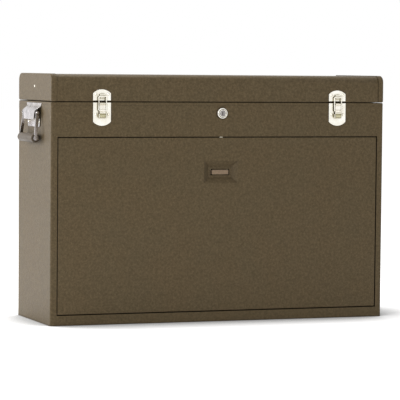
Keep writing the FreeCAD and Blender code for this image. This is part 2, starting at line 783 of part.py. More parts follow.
LATCH_FACE = FRONT + " - latch_sheet"
BASE_HIGH = "(case_height - base_drop)"
BASE_LOW = "(%s - base_height)" % BASE_HIGH
STRIKE_LOW = "(%s + strike_lift)" % LID_LOW
STRIKE_HIGH = "(%s + strike_height)" % STRIKE_LOW
HOOK_RISE = "(%s + hook_lift)" % STRIKE_LOW
LEVER_Y = LATCH_FACE + " - lever_barrel - lever_gap"
LEVER_PIVOT = "(%s - lever_pivot_drop)" % BASE_HIGH
LEVER_HIGH = "(%s + lever_length)" % LEVER_PIVOT
BAIL_PIVOT = "(%s + bail_pivot_lift)" % LEVER_PIVOT
BAIL_HIGH = "(%s + bail_lift)" % HOOK_RISE
LEG = "(lever_width / 2 + wire_gap + wire)"


def latch_middle(side):
    return "%d * (case_width / 2 - latch_inset)" % side


def make_latch_base(side):
    """The lower plate, with two ears for the lever's pin."""
    body = new_body("latch_base")
    middle = latch_middle(side)
    extrude(body, "XZ", LATCH_FACE, FRONT, lambda sketch: draw_tombstone(
        sketch, middle, "latch_width", BASE_HIGH, BASE_LOW, "base_sagitta"))
    for _, hand in SIDES:
        inner = "%s + %d * (lever_width / 2 + side_gap)" % (middle, hand)
        outer = "%s + %d * (lever_width / 2 + side_gap + ear)" % (middle, hand)
        block(body, (inner, outer) if hand > 0 else (outer, inner),
              (LEVER_Y + " - ear_reach", LATCH_FACE),
              (LEVER_PIVOT + " - ear_height / 2", LEVER_PIVOT + " + ear_height / 2"))
    disc(body, "YZ", LEVER_Y, LEVER_PIVOT, "latch_pin", *ear_span(middle), cut=True)
    return body


def ear_span(middle):
    """The span from the outside of one ear to the outside of the other."""
    half = "(lever_width / 2 + side_gap + ear)"
    return "%s - %s" % (middle, half), "%s + %s" % (middle, half)


def make_latch_pin(side):
    body = new_body("latch_pin")
    disc(body, "YZ", LEVER_Y, LEVER_PIVOT, "latch_pin", *ear_span(latch_middle(side)))
    return body


def make_lever(name, side):
    """The finger lever: two rolled barrels, for its own pin and for the wire, and a curled tip."""
    body = new_body("latch_lever_" + name)
    middle = latch_middle(side)
    across = (middle + " - lever_width / 2", middle + " + lever_width / 2")
    near, far = LEVER_Y + " - lever_sheet / 2", LEVER_Y + " + lever_sheet / 2"
    profile = [(near, LEVER_PIVOT), (far, LEVER_PIVOT), (far, LEVER_HIGH),
               (near + " - lever_curl", LEVER_HIGH),
               (near + " - lever_curl", LEVER_HIGH + " - lever_sheet"),
               (near, LEVER_HIGH + " - 2 * lever_sheet")]
    prism(body, "YZ", profile, *across)
    disc(body, "YZ", LEVER_Y, LEVER_PIVOT, "lever_barrel", *across)
    disc(body, "YZ", LEVER_Y, BAIL_PIVOT, "bail_barrel", *across)
    disc(body, "YZ", LEVER_Y, LEVER_PIVOT, "latch_pin + pin_clearance", *across, cut=True)
    disc(body, "YZ", LEVER_Y, BAIL_PIVOT, "wire + pin_clearance", *across, cut=True)
    return body


def draw_bent_wire(sketch, path, bend):
    """An open path with square corners, each of them an arc of radius bend."""
    corners = [FreeCAD.Vector(number(across), number(up), 0) for across, up in path]
    runs = [corners[index + 1] - corners[index] for index in range(len(corners) - 1)]
    ways = [(round(run.x / run.Length), round(run.y / run.Length)) for run in runs]
    last = len(runs) - 1

    def beside(index, way, sense):
        """The point one bend from a corner, forwards or backwards along a run."""
        return tuple("%s + %d * %s" % (text, sense * step, bend) for text, step in zip(path[index], way))

    def place(point):
        return FreeCAD.Vector(number(point[0]), number(point[1]), 0)

    starts = [beside(index, ways[index], 1) if index else path[0] for index in range(len(runs))]
    ends = [beside(index + 1, ways[index], -1) if index < last else path[-1] for index in range(len(runs))]
    for start, end in zip(starts, ends):
        line = sketch.addGeometry(Part.LineSegment(place(start), place(end)), False)
        fix_point(sketch, line, 1, *start)
        fix_point(sketch, line, 2, *end)
    inward = number(bend) * (1 - math.cos(math.radians(45)))
    for index in range(last):
        back = FreeCAD.Vector(*ways[index], 0)
        ahead = FreeCAD.Vector(*ways[index + 1], 0)
        apex = corners[index + 1] + (ahead - back) * inward
        arc = sketch.addGeometry(Part.Arc(place(ends[index]), apex, place(starts[index + 1])), False)
        turns_left = back.x * ahead.y - back.y * ahead.x > 0
        first, second = (1, 2) if turns_left else (2, 1)
        sketch.addConstraint(Sketcher.Constraint("Coincident", index, 2, arc, first))
        sketch.addConstraint(Sketcher.Constraint("Coincident", index + 1, 1, arc, second))
        at = sketch.addConstraint(Sketcher.Constraint("Radius", arc, number(bend)))
        bind(sketch, "Constraints[%d]" % at, bend)


def make_latch_bail(name, side):
    """A wire loop: its two turned-in ends sit in the lever, its bar lies at the strike's hook."""
    body = new_body("latch_bail_" + name)
    middle = latch_middle(side)
    end = "(lever_width / 2 - 2 * wire)"
    path = [("%s - %s" % (middle, end), BAIL_PIVOT), ("%s - %s" % (middle, LEG), BAIL_PIVOT),
            ("%s - %s" % (middle, LEG), BAIL_HIGH), ("%s + %s" % (middle, LEG), BAIL_HIGH),
            ("%s + %s" % (middle, LEG), BAIL_PIVOT), ("%s + %s" % (middle, end), BAIL_PIVOT)]
    spine = new_sketch(body, "XZ", "-(%s)" % LEVER_Y)
    draw_bent_wire(spine, path, "wire_bend")
    ring = new_sketch(body, "YZ", path[0][0])
    draw_circle(ring, LEVER_Y, BAIL_PIVOT, "wire")
    doc.recompute()
    pipe = body.newObject("PartDesign::AdditivePipe", "wire")
    pipe.Profile = ring
    pipe.Spine = spine
    doc.recompute()
    return body


def make_strike(side):
    """The upper plate on the lid, with a hook that turns up in front of it."""
    body = new_body("strike")
    middle = latch_middle(side)
    face = LID_FRONT + " - latch_sheet"
    extrude(body, "XZ", face, LID_FRONT, lambda sketch: draw_tombstone(
        sketch, middle, "latch_width", STRIKE_LOW, STRIKE_HIGH, "strike_sagitta"))
    lip = LEVER_Y + " + wire + hook_clearance"
    hook = [(face, HOOK_RISE), (lip, HOOK_RISE), (lip, HOOK_RISE + " + hook_height"),
            (lip + " + hook_sheet", HOOK_RISE + " + hook_height"),
            (lip + " + hook_sheet", HOOK_RISE + " + hook_sheet"), (face, HOOK_RISE + " + hook_sheet")]
    half = "(lever_width / 2 - hook_inset)"
    prism(body, "YZ", hook, "%s - %s" % (middle, half), "%s + %s" % (middle, half))
    return body


# ---------------------------------------------------------------- lock

LOCK_RISE = "(case_height - lock_drop)"


def make_lock_body():
    """A flanged ring in front of the apron and a barrel through it, bored for the plug."""
    body = new_body("lock_body")
    disc(body, "XZ", "0", LOCK_RISE, "lock_flange", FRONT + " - lock_flange_thick", FRONT)
    disc(body, "XZ", "0", LOCK_RISE, "lock_ring", FRONT + " - lock_reach",
         FRONT + " - lock_flange_thick")
    bevel_edges(body, "lock_bevel", lambda edge: lies_at(edge, 1, FRONT + " - lock_reach"))
    disc(body, "XZ", "0", LOCK_RISE, "lock_barrel", FRONT, FRONT + " + lock_length")
    disc(body, "XZ", "0", LOCK_RISE, "plug_radius + running_gap",
         FRONT + " - lock_reach", FRONT + " + lock_length", cut=True)
    return body


def make_lock_nut():
    body = new_body("lock_nut")
    hexagon = [("nut_radius * %.6f" % math.cos(math.radians(turn)),
                LOCK_RISE + " + nut_radius * %.6f" % math.sin(math.radians(turn)))
               for turn in range(0, 360, 60)]
    behind = (FRONT + " + steel", FRONT + " + steel + nut_thick")
    prism(body, "XZ", hexagon, *behind)
    disc(body, "XZ", "0", LOCK_RISE, "lock_barrel", *behind, cut=True)
    return body


def make_lock_plug():
    """The part that a key turns: a cylinder with a keyway, and a tail that carries the cam."""
    body = new_body("lock_plug")
    face = FRONT + " - lock_reach + plug_inset"
    tail = FRONT + " + lock_length + 2 * running_gap"
    disc(body, "XZ", "0", LOCK_RISE, "plug_radius", face, tail)
    keyway = (LOCK_RISE + " - keyway_height / 2", LOCK_RISE + " + keyway_height / 2")
    block(body, centred("keyway_width"), (face, face + " + keyway_depth"), keyway, cut=True)
    return body


def make_lock_cam():
    body = new_body("lock_cam")
    start = FRONT + " + lock_length + 2 * running_gap"
    block(body, ("0", "cam_reach"), (start, start + " + cam_thick"),
          (LOCK_RISE + " - cam_width / 2", LOCK_RISE + " + cam_width / 2"))
    disc(body, "XZ", "0", LOCK_RISE, "plug_radius", start, start + " + cam_thick")
    return body


# ---------------------------------------------------------------- side handles

HANDLE_HIGH = "(case_height - handle_drop)"
HOOD_MID = "(%s - hood_mid_drop)" % HANDLE_HIGH
HOOD_LOW = "(%s - hood_height)" % HANDLE_HIGH
HOOD_BEND = "(%s - hood_bend_drop)" % HANDLE_HIGH
FOOT_HIGH = "(%s - foot_drop)" % HANDLE_HIGH
FOOT_LOW = "(%s - foot_height)" % FOOT_HIGH
FOOT_WIDTH = "(arm_spread - 2 * foot_gap)"
HANDLE_PIVOT = "(%s - handle_pivot_drop)" % HANDLE_HIGH
GRIP_RISE = "(%s - grip_drop)" % HANDLE_PIVOT
GRIP_STAND = "(grip_radius + grip_gap)"
NECK_HIGH = "(%s - arm_neck)" % HANDLE_PIVOT
NECK_LOW = "(%s + arm_neck)" % GRIP_RISE


def outward(side, stand):
    """A distance out from the side wall, as a place along X."""
    return "%d * (case_width / 2 + %s)" % (side, stand)


def make_handle_hood(name, side):
    """The stamped cover: riveted flat at the top, sloping out over the pivot, narrower below."""
    body = new_body("handle_plate_" + name)

    def out(stand):
        return outward(side, stand)

    section = [(out("0"), HANDLE_HIGH), (out("hood_sheet"), HANDLE_HIGH),
               (out("hood_sheet"), HOOD_BEND), (out("hood_stand"), HOOD_MID),
               (out("hood_stand"), HOOD_LOW), (out("(hood_stand - hood_sheet)"), HOOD_LOW),
               (out("(hood_stand - hood_sheet)"), HOOD_MID + " - hood_sheet / 2"),
               (out("0"), HOOD_BEND + " - hood_sheet")]
    half_top = "(arm_spread / 2 + hood_top_overhang)"
    prism(body, "XZ", section, "-" + half_top, half_top)
    for _, hand in SIDES:
        low_corner = "%d * (arm_spread / 2 - hood_low_inset)" % hand
        edge = [("%d * %s" % (hand, half_top), HANDLE_HIGH),
                ("%d * (arm_spread / 2 - hood_mid_inset)" % hand, HOOD_MID),
                (low_corner, HOOD_LOW), (low_corner, HOOD_LOW + " - hood_sheet"),
                ("%d * 2 * %s" % (hand, half_top), HOOD_LOW + " - hood_sheet"),
                ("%d * 2 * %s" % (hand, half_top), HANDLE_HIGH)]
        prism(body, "YZ", edge, *toward(side, "case_width / 2 - hood_sheet",
                                        "case_width / 2 + 2 * hood_stand"), cut=True)
    return body


def make_handle_foot(side):
    """The base plate on the case's wall, with two ears that carry the bail's rod."""
    body = new_body("handle_foot")
    prism(body, "YZ", rectangle(*centred(FOOT_WIDTH), FOOT_LOW, FOOT_HIGH),
          *toward(side, "case_width / 2", "case_width / 2 + foot_sheet"))
    round_edges(body, "foot_radius", lambda edge: runs_along(edge, 0) and lies_at(edge, 2, FOOT_LOW))
    outer = "(arm_spread / 2 - handle_ear_inset)"
    for _, hand in SIDES:
        block(body, toward(side, "case_width / 2",
                           "case_width / 2 + handle_pivot_stand + handle_ear_reach"),
              toward(hand, outer + " - handle_ear", outer),
              (HANDLE_PIVOT + " - handle_ear_height / 2", HANDLE_PIVOT + " + handle_ear_height / 2"))
    disc(body, "XZ", outward(side, "handle_pivot_stand"), HANDLE_PIVOT,
         "handle_rod + running_gap", "-" + outer, outer, cut=True)
    return body


def make_handle_bail(name, side):
    """A rod through the ears with a flat arm on each end; the arms spread and lean out to the grip."""
    body = new_body("handle_bail_" + name)
    pivot = outward(side, "handle_pivot_stand")
    hold = outward(side, GRIP_STAND)
    half_rod = "(arm_spread / 2 + arm_thick + handle_rod_end)"
    disc(body, "XZ", pivot, HANDLE_PIVOT, "handle_rod", "-" + half_rod, half_rod)
    for _, hand in SIDES:
        at_rod = toward(hand, "arm_spread / 2", "arm_spread / 2 + arm_thick")
        at_grip = toward(hand, "grip_length / 2", "grip_length / 2 + arm_thick")
        upper = (pivot + " - arm_width / 2", pivot + " + arm_width / 2", *at_rod)
        lower = (hold + " - arm_width / 2", hold + " + arm_width / 2", *at_grip)
        disc(body, "XZ", pivot, HANDLE_PIVOT, "arm_eye", *at_rod)
        prism(body, "XY", rectangle(*upper), NECK_HIGH, HANDLE_PIVOT)
        loft_between(body, "XY", (rectangle(*upper), rectangle(*lower)), (NECK_HIGH, NECK_LOW))
        prism(body, "XY", rectangle(*lower), GRIP_RISE, NECK_LOW)
        disc(body, "XZ", hold, GRIP_RISE, "arm_tip", *at_grip)
    return body


def make_handle_grip(name, side):
    body = new_body("handle_grip_" + name)
    ends = centred("grip_length")
    disc(body, "XZ", outward(side, GRIP_STAND), GRIP_RISE, "grip_radius", *ends)
    bevel_edges(body, "grip_bevel", lambda edge: lies_at(edge, 1, ends[0]) or lies_at(edge, 1, ends[1]))
    return body


# ---------------------------------------------------------------- rivets

DOME_LATITUDE = 30.0


def make_rivet(x_place, y_place, z_place, turn):
    """A domed rivet head: the cap of a ball, standing on the face that it holds."""
    head = doc.addObject("Part::Sphere", "rivet")
    ball = "rivet_radius / %.6f" % math.cos(math.radians(DOME_LATITUDE))
    sink = "(%s) * %.6f" % (ball, math.sin(math.radians(DOME_LATITUDE)))
    bind(head, "Radius", ball)
    head.Angle1 = DOME_LATITUDE
    head.Placement.Rotation = turn
    away = turn.multVec(FreeCAD.Vector(0, 0, 1))
    for axis, place, lean in (("x", x_place, away.x), ("y", y_place, away.y), ("z", z_place, away.z)):
        bind(head, "Placement.Base." + axis, "%s - %d * (%s)" % (place, round(lean), sink))
    return head


TO_FRONT = FreeCAD.Rotation(FreeCAD.Vector(0, 0, 1), FreeCAD.Vector(0, -1, 0))


def make_case_rivets():
    heads = []
    for _, side in SIDES:
        to_side = FreeCAD.Rotation(FreeCAD.Vector(0, 0, 1), FreeCAD.Vector(side, 0, 0))
        for _, hand in SIDES:
            across = "%s + %d * (latch_width / 2 - latch_rivet_inset)" % (latch_middle(side), hand)
            heads.append(make_rivet(across, LATCH_FACE, BASE_LOW + " + base_rivet_lift", TO_FRONT))
            along = "%d * (%s / 2 - foot_rivet_inset)" % (hand, FOOT_WIDTH)
            heads.append(make_rivet(outward(side, "foot_sheet"), along,
                                    FOOT_LOW + " + foot_rivet_lift", to_side))
    return heads


def make_lid_rivets():
    heads = []
    for _, side in SIDES:
        to_side = FreeCAD.Rotation(FreeCAD.Vector(0, 0, 1), FreeCAD.Vector(side, 0, 0))
        heads.append(make_rivet(outward(side, "0"), "0", LID_HIGH + " - cap_rivet_drop", to_side))
        for _, hand in SIDES:
            across = "%s + %d * (latch_width / 2 - latch_rivet_inset)" % (latch_middle(side), hand)
            heads.append(make_rivet(across, LID_FRONT + " - latch_sheet",
                                    STRIKE_HIGH + " - strike_rivet_drop", TO_FRONT))
    return heads


# ---------------------------------------------------------------- the whole chest

nodes = [make_case_wrap(), make_case_floor(), make_top_rim(), make_front_apron(), make_bottom_rail(),
         make_till_floor(), make_till_felt(), make_drawer_shelf()]
nodes.append(group("partitions", [make_partition(column) for _, column in SIDES]))
nodes.append(group("drawer_runners", make_runners()))
nodes += make_drawers()
nodes += [make_front_panel(), make_grip_bar(), make_lid_wrap()]
nodes += [make_lid_end(name, side) for name, side in SIDES]
nodes += make_hinge()
for name, side in SIDES:
    nodes += [make_lever(name, side), make_latch_bail(name, side), make_handle_hood(name, side),
              make_handle_bail(name, side), make_handle_grip(name, side)]
nodes.append(group("latch_bases", [make_latch_base(side) for _, side in SIDES]))
nodes.append(group("latch_pins", [make_latch_pin(side) for _, side in SIDES]))
nodes.append(group("strikes", [make_strike(side) for _, side in SIDES]))
nodes.append(group("handle_feet", [make_handle_foot(side) for _, side in SIDES]))
nodes += [make_lock_body(), make_lock_nut(), make_lock_plug(), make_lock_cam()]
nodes += [group("case_rivets", make_case_rivets()), group("lid_rivets", make_lid_rivets())]
doc.recompute()

for thing in doc.Objects:
    if "Invalid" in thing.State or "Error" in thing.State:
        raise ValueError("%s (%s) failed: %s" % (thing.Label, thing.Name, thing.State))
for node in nodes:
    if node.Shape.isNull() or not node.Shape.isValid():
        raise ValueError("%s has no valid shape" % node.Label)
for node in nodes:
    node.Shape.exportStep("parts/%s.step" % node.Label)
print("%d nodes, %d solids" % (len(nodes), sum(len(node.Shape.Solids) for node in nodes)))
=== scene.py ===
import json
import math

import bmesh
import bpy
from mathutils import Matrix, Vector, noise


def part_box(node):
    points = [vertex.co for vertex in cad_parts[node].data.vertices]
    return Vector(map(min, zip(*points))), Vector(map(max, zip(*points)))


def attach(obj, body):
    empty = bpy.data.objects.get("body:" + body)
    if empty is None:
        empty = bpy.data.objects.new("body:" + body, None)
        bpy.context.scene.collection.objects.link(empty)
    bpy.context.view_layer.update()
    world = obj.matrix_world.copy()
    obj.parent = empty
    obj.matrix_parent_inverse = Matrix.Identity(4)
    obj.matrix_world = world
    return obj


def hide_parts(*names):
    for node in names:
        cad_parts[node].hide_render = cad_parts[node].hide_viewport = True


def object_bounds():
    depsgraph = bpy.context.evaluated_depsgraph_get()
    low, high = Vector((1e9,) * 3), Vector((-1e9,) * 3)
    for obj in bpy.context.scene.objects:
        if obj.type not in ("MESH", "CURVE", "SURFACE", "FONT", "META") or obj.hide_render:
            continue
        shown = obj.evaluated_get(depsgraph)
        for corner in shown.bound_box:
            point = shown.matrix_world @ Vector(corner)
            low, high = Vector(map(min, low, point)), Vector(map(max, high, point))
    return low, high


# Looks for the machinist tool chest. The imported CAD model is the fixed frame: it keeps every
# size and place, and this script adds materials, small trim, light, the floor and the camera.
# Lengths are metres, +Z up, and the front faces -Y. Lengths that are multiplied by MM where they
# are used are written in millimetres.

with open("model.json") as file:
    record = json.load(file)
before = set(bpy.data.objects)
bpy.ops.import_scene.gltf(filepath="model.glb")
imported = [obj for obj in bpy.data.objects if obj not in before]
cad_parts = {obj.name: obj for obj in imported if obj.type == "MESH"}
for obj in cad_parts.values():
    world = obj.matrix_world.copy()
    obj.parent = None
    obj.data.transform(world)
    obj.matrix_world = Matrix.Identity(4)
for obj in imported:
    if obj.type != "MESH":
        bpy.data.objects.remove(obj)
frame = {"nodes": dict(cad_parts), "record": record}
CAD_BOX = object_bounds()
NODES = frame["nodes"]

MM = 0.001
WHITE = (1.0, 1.0, 1.0, 1.0)


# ---------------------------------------------------------------- camera

CAMERA_PLACE = (-1.5821, -4.2151, 0.4731)
CAMERA_HEADING = 20.552
CAMERA_TILT = -3.223
CAMERA_ROLL = 0.513
SENSOR_WIDTH = 36.0
FOCAL_LENGTH = 214.29
CLIP_START = 0.1
CLIP_END = 100.0


def make_camera():
    """The photograph's camera, fitted to the chest's edges. Its angles are degrees."""
    data = bpy.data.cameras.new("camera")
    data.sensor_fit = "HORIZONTAL"
    data.sensor_width = SENSOR_WIDTH
    data.lens = FOCAL_LENGTH
    data.clip_start = CLIP_START
    data.clip_end = CLIP_END
    camera = bpy.data.objects.new("camera", data)
    turn = (Matrix.Rotation(math.radians(-CAMERA_HEADING), 4, "Z")
            @ Matrix.Rotation(math.radians(90.0 + CAMERA_TILT), 4, "X")
            @ Matrix.Rotation(math.radians(CAMERA_ROLL), 4, "Z"))
    camera.matrix_world = Matrix.Translation(CAMERA_PLACE) @ turn
    bpy.context.scene.collection.objects.link(camera)
    bpy.context.scene.camera = camera


# ---------------------------------------------------------------- node helpers

def srgb(red, green, blue):
    """A colour written as 0 to 255 display values, as the shader's linear values."""
    def linear(value):
        share = value / 255.0
        if share <= 0.04045:
            return share / 12.92
        return ((share + 0.055) / 1.055) ** 2.4
    return (linear(red), linear(green), linear(blue), 1.0)


def map_range(tree, value, from_range, to_range):
    """Carries a value from one range to another, and holds it inside the second."""
    node = tree.nodes.new("ShaderNodeMapRange")
    names = ("From Min", "From Max", "To Min", "To Max")
    for name, number in zip(names, from_range + to_range):
        node.inputs[name].default_value = number
    tree.links.new(value, node.inputs["Value"])
    return node.outputs["Result"]


class Shader:
    """A node material with one Principled shader and object coordinates."""

    def __init__(self, name):
        self.material = bpy.data.materials.new(name)
        self.material.use_nodes = True
        self.tree = self.material.node_tree
        self.principled = self.tree.nodes["Principled BSDF"]
        self.where = self.add("ShaderNodeTexCoord").outputs["Object"]

    def add(self, kind, **settings):
        node = self.tree.nodes.new(kind)
        for key, value in settings.items():
            setattr(node, key, value)
        return node

    def link(self, source, target):
        self.tree.links.new(source, target)

    def fill(self, sockets, values):
        """Links each value that is a socket, and sets each that is a plain value."""
        for socket, value in zip(sockets, values):
            if isinstance(value, bpy.types.NodeSocket):
                self.link(value, socket)
            else:
                socket.default_value = value

    def set(self, **values):
        """Constant values on the shader's own sockets."""
        for name, value in values.items():
            self.principled.inputs[name.replace("_", " ")].default_value = value

    def stretched(self, factors):
        """Object coordinates scaled by a different factor along each axis."""
        mapping = self.add("ShaderNodeMapping")
        mapping.inputs["Scale"].default_value = factors
        self.link(self.where, mapping.inputs["Vector"])
        return mapping.outputs["Vector"]

    def noise(self, size, detail=2.0, roughness=0.5, where=None):
        """Noise whose features are about size metres across."""
        node = self.add("ShaderNodeTexNoise")
        node.inputs["Scale"].default_value = 1.0 / size
        node.inputs["Detail"].default_value = detail
        node.inputs["Roughness"].default_value = roughness
        self.link(where or self.where, node.inputs["Vector"])
        return node.outputs["Fac"]

    def cells(self, size):
        """Round cells about size metres apart: the distance from each cell's middle."""
        node = self.add("ShaderNodeTexVoronoi")
        node.inputs["Scale"].default_value = 1.0 / size
        self.link(self.where, node.inputs["Vector"])
        return node.outputs["Distance"]

    def openness(self, distance, own=False):
        """How open the surface is within that distance: 1 in the open, 0 deep in a crevice.
        With own, only the piece's own mesh counts."""
        node = self.add("ShaderNodeAmbientOcclusion", samples=8, only_local=own)
        node.inputs["Distance"].default_value = distance
        return node.outputs["AO"]

    def ramp(self, value, stops):
        """A colour ramp. The first two stops are its ends, and any others lie between."""
        node = self.add("ShaderNodeValToRGB")
        elements = node.color_ramp.elements
        for index, (place, colour) in enumerate(stops):
            element = elements[index] if index < 2 else elements.new(place)
            element.position = place
            element.color = colour
        self.link(value, node.inputs["Fac"])
        return node.outputs["Color"]

    def remap(self, value, from_range, to_range):
        return map_range(self.tree, value, from_range, to_range)

    def mix(self, share, first, second, blend="MIX"):
        """Mixes two colours; share, first and second are sockets or plain values."""
        node = self.add("ShaderNodeMix", data_type="RGBA", blend_type=blend)
        self.fill((node.inputs[0], node.inputs[6], node.inputs[7]), (share, first, second))
        return node.outputs[2]

    def times(self, first, second):
        """One colour multiplied by another."""
        return self.mix(1.0, first, second, "MULTIPLY")

    def combine(self, first, second, operation):
        """Two numbers combined by an operation of the Math node."""
        node = self.add("ShaderNodeMath", operation=operation)
        self.fill(node.inputs, (first, second))
        return node.outputs["Value"]

    def bump(self, height, depth, strength, under=None):
        """A normal bent by a height of that depth in metres, over another normal."""
        node = self.add("ShaderNodeBump")
        node.inputs["Strength"].default_value = strength
        node.inputs["Distance"].default_value = depth
        self.link(height, node.inputs["Height"])
        if under is not None:
            self.link(under, node.inputs["Normal"])
        return node.outputs["Normal"]

    def finish(self, colour, roughness=None, normal=None):
        """Links what is given to the shader, and returns the material."""
        for name, socket in (("Base Color", colour), ("Roughness", roughness),
                             ("Normal", normal)):
            if socket is not None:
                self.link(socket, self.principled.inputs[name])
        return self.material


# ---------------------------------------------------------------- materials

# Painted shade: the near-black colour that crevices in the paint and the grip turn to.
CREVICE_SHADE = srgb(24, 19, 12)
# Painted shade: the factor that darkens wide hollows in the paint, such as the panel's recess.
HOLLOW_SHADE = (0.5, 0.47, 0.42, 1.0)
# Painted shade and dark reflections on plating near crevices: the deepest and a lighter step.
PLATE_SHADE_DEEP = srgb(62, 58, 44)
PLATE_SHADE_LIGHT = srgb(186, 180, 158)
# Painted shade on the lever's barrel, below the height that follows.
BARREL_SHADE = srgb(186, 180, 148)

# The lever's plating is painted darker below this height, as shade on its rounded barrel, and
# the change is this wide.
BARREL_SHADE_TOP = 0.3856
BARREL_SHADE_BLUR = 0.0016

# How much of the paint's tone comes from its fine grain and from its mottling.
GRAIN_SHARE = 0.35
MOTTLE_SHARE = 0.65
MOTTLE_TO_GRAIN = 4.0


def wrinkle_paint(name, dark, middle, light, grain):
    """Baked wrinkle paint: fine raised grain, faint mottling, low gloss. Shade is painted into
    its colour: near black in crevices and darker in wider hollows, such as the panel's recess."""
    shader = Shader(name)
    fine = shader.noise(size=grain, detail=3.0, roughness=0.6)
    mottle = shader.noise(size=grain * MOTTLE_TO_GRAIN, detail=3.0, roughness=0.65)
    cloud = shader.noise(size=0.06)
    blend = shader.combine(shader.combine(fine, GRAIN_SHARE, "MULTIPLY"),
                           shader.combine(mottle, MOTTLE_SHARE, "MULTIPLY"), "ADD")
    colour = shader.ramp(blend, [(0.34, dark), (0.66, light), (0.5, middle)])
    tint = shader.ramp(cloud, [(0.35, (0.985, 0.995, 1.0, 1.0)),
                               (0.65, (1.015, 1.0, 0.985, 1.0))])
    colour = shader.times(colour, tint)
    # Painted shade: the colour turns near black where a crevice closes in within 6 mm.
    unshaded = shader.remap(shader.openness(distance=0.006), (0.25, 0.8), (0.0, 1.0))
    colour = shader.mix(unshaded, CREVICE_SHADE, colour)
    # Painted shade: wider hollows, such as the panel's recess, are multiplied darker.
    hollow = shader.openness(distance=0.028, own=True)
    colour = shader.times(colour, shader.ramp(hollow, [(0.62, HOLLOW_SHADE), (0.97, WHITE)]))
    roughness = shader.remap(fine, (0.3, 0.7), (0.42, 0.58))
    grain_normal = shader.bump(fine, depth=0.00025, strength=0.65)
    normal = shader.bump(mottle, depth=0.0008, strength=0.6, under=grain_normal)
    shader.set(Specular_IOR_Level=0.25, Specular_Tint=(1.0, 0.92, 0.86, 1.0))
    return shader.finish(colour, roughness, normal)


def bright_plate(name, dark, light, roughness, lines=(1.0, 1.0, 1.0), reach=0.005,
                 shaded_below=None):
    """Bright plating: faint polish lines, thin cloudy patches and tiny pits. Shade and dark
    reflections are painted into its colour within reach of a crevice, and painted shade below a
    height where that is given."""
    shader = Shader(name)
    cloud = shader.noise(size=0.012, detail=3.0)
    polish = shader.noise(size=0.0009, detail=3.0, where=shader.stretched(lines))
    pits = shader.noise(size=0.0016)
    colour = shader.ramp(cloud, [(0.3, dark), (0.7, light)])
    if shaded_below is not None:
        height = shader.add("ShaderNodeSeparateXYZ")
        shader.link(shader.where, height.inputs["Vector"])
        edge = (shaded_below - BARREL_SHADE_BLUR / 2.0, shaded_below + BARREL_SHADE_BLUR / 2.0)
        # Painted shade: below the given height the plating turns darker, for the lever's rounded
        # barrel.
        colour = shader.mix(shader.remap(height.outputs["Z"], edge, (0.0, 1.0)), BARREL_SHADE, colour)
    # Painted shade and dark reflections: the plating darkens within reach of a crevice.
    plate_shade = shader.ramp(shader.openness(reach), [(0.2, PLATE_SHADE_DEEP), (0.95, WHITE),
                                                   (0.68, PLATE_SHADE_LIGHT)])
    colour = shader.times(colour, plate_shade)
    pitted = shader.bump(pits, depth=0.00004, strength=0.4)
    normal = shader.bump(polish, depth=0.00003, strength=0.5, under=pitted)
    shader.set(Metallic=1.0)
    return shader.finish(colour, shader.remap(cloud, (0.3, 0.7), roughness), normal)


def zinc_steel():
    """Galvanised sheet: a dull grey with round spangles."""
    shader = Shader("zinc_steel")
    spangle = shader.cells(size=0.006)
    colour = shader.ramp(spangle, [(0.0, srgb(168, 168, 164)), (0.8, srgb(196, 197, 194))])
    roughness = shader.remap(spangle, (0.0, 0.8), (0.32, 0.5))
    normal = shader.bump(shader.noise(size=0.0015, detail=3.0), depth=0.00005, strength=0.4)
    shader.set(Metallic=1.0)
    return shader.finish(colour, roughness, normal)


def wool_felt():
    """Green felt: matted fibres that lie a little along x."""
    shader = Shader("wool_felt")
    fibre = shader.noise(size=0.0012, detail=5.0, roughness=0.7,
                         where=shader.stretched((1.0, 1.6, 1.0)))
    cloud = shader.noise(size=0.02)
    colour = shader.ramp(fibre, [(0.3, srgb(58, 78, 58)), (0.7, srgb(92, 114, 90))])
    tint = shader.ramp(cloud, [(0.3, (0.94, 0.94, 0.94, 1.0)), (0.7, (1.05, 1.05, 1.05, 1.0))])
    normal = shader.bump(fibre, depth=0.0006, strength=0.7)
    shader.set(Sheen_Weight=0.4, Sheen_Roughness=0.5, Roughness=0.95, Specular_IOR_Level=0.1)
    return shader.finish(shader.times(colour, tint), normal=normal)


def roll_grip():
    """Moulded grip sleeve: brown, slightly glossy, with a fine pebble."""
    shader = Shader("roll_grip")
    pebble = shader.noise(size=0.0013)
    cloud = shader.noise(size=0.01)
    colour = shader.ramp(cloud, [(0.3, srgb(68, 57, 43)), (0.7, srgb(82, 70, 54))])
    # Painted shade: the colour turns near black where a crevice closes in within 8 mm.
    unshaded = shader.remap(shader.openness(distance=0.008), (0.2, 0.8), (0.0, 1.0))
    colour = shader.mix(unshaded, CREVICE_SHADE, colour)
    roughness = shader.remap(pebble, (0.3, 0.7), (0.4, 0.55))
    normal = shader.bump(pebble, depth=0.00015, strength=0.6)
    shader.set(Specular_IOR_Level=0.35)
    return shader.finish(colour, roughness, normal)


